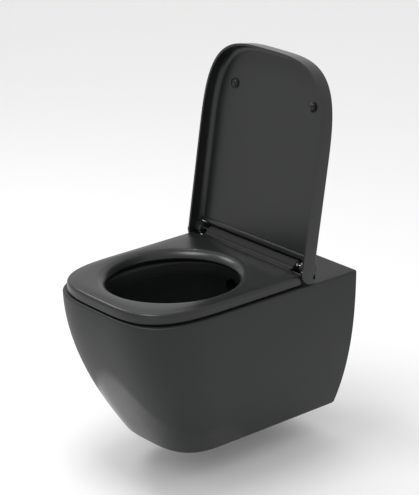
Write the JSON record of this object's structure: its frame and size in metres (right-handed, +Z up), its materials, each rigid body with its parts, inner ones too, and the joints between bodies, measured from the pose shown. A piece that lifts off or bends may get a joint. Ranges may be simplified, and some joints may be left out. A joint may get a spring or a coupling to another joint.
{
  "type": "wall-hung toilet",
  "caption": "Wall-hung matt black toilet with a hollow ceramic pan, a bowl and trapway, and a slim soft-closing seat and lid on a quick-release hinge bar.",
  "frame": {"origin": "on the wall face, midway between the two wall fixing holes, 80 mm below the rim", "axes": "+Z up, +Y out of the back into the wall, +X to the right of someone facing the toilet"},
  "size_m": [0.365, 0.5519, 0.7867],
  "materials": {
    "matt_ceramic": "matt anthracite glaze",
    "matt_thermoset": "matt anthracite thermoset, fine smooth grain",
    "hinge_plastic": "black moulded plastic",
    "rubber": "black rubber",
    "zinc_steel": "zinc-plated steel",
    "polished_steel": "polished stainless steel",
    "white_plastic": "white moulded plastic"
  },
  "bodies": {
    "pan_body": {"pan": "matt_ceramic", "outlet_seal": "rubber", "flush_inlet_seal": "rubber", "fixing_sleeve_left": "white_plastic", "fixing_sleeve_right": "white_plastic", "fixing_bracket_left": "zinc_steel", "fixing_bracket_right": "zinc_steel", "clamp_screw_left": "zinc_steel", "clamp_screw_right": "zinc_steel", "post_gasket_left": "rubber", "post_gasket_right": "rubber", "hinge_post_left": "polished_steel", "hinge_post_right": "polished_steel", "expansion_sleeve_left": "rubber", "expansion_sleeve_right": "rubber", "cone_nut_left": "zinc_steel", "cone_nut_right": "zinc_steel"},
    "hinge_carrier": {"hinge_bar": "hinge_plastic", "seat_damper": "hinge_plastic", "lid_damper": "hinge_plastic", "latch_spring_left": "zinc_steel", "latch_spring_right": "zinc_steel"},
    "seat_body": {"seat": "matt_thermoset", "seat_buffer_front_left": "rubber", "seat_buffer_front_right": "rubber", "seat_buffer_rear_left": "rubber", "seat_buffer_rear_right": "rubber", "seat_bush_left": "polished_steel", "seat_bush_right": "polished_steel", "seat_damper_shaft": "polished_steel"},
    "lid_body": {"lid": "matt_thermoset", "lid_buffer_left": "rubber", "lid_buffer_right": "rubber", "lid_damper_shaft": "polished_steel", "lid_pivot_pin": "polished_steel"},
    "left_latch": {"latch_left": "hinge_plastic"},
    "right_latch": {"latch_right": "hinge_plastic"}
  },
  "joints": [
    {"name": "seat_release", "type": "slide", "parent": "pan_body", "child": "hinge_carrier", "axis": [0, 0, 1], "range_m": [0, 0.04]},
    {"name": "seat_hinge", "type": "hinge", "parent": "hinge_carrier", "child": "seat_body", "pos_m": [0, -0.1275, 0.1109], "axis": [-1, 0, 0], "range_deg": [0, 96]},
    {"name": "lid_hinge", "type": "hinge", "parent": "hinge_carrier", "child": "lid_body", "pos_m": [0, -0.1275, 0.1109], "axis": [-1, 0, 0], "range_deg": [-98.6, 0]},
    {"name": "left_release_button", "type": "slide", "parent": "hinge_carrier", "child": "left_latch", "axis": [0, -1, 0], "range_m": [0, 0.0035], "stiffness_N_per_m": 400, "springref_m": -0.002},
    {"name": "right_release_button", "type": "slide", "parent": "hinge_carrier", "child": "right_latch", "axis": [0, -1, 0], "range_m": [0, 0.0035], "stiffness_N_per_m": 400, "springref_m": -0.002}
  ]
}
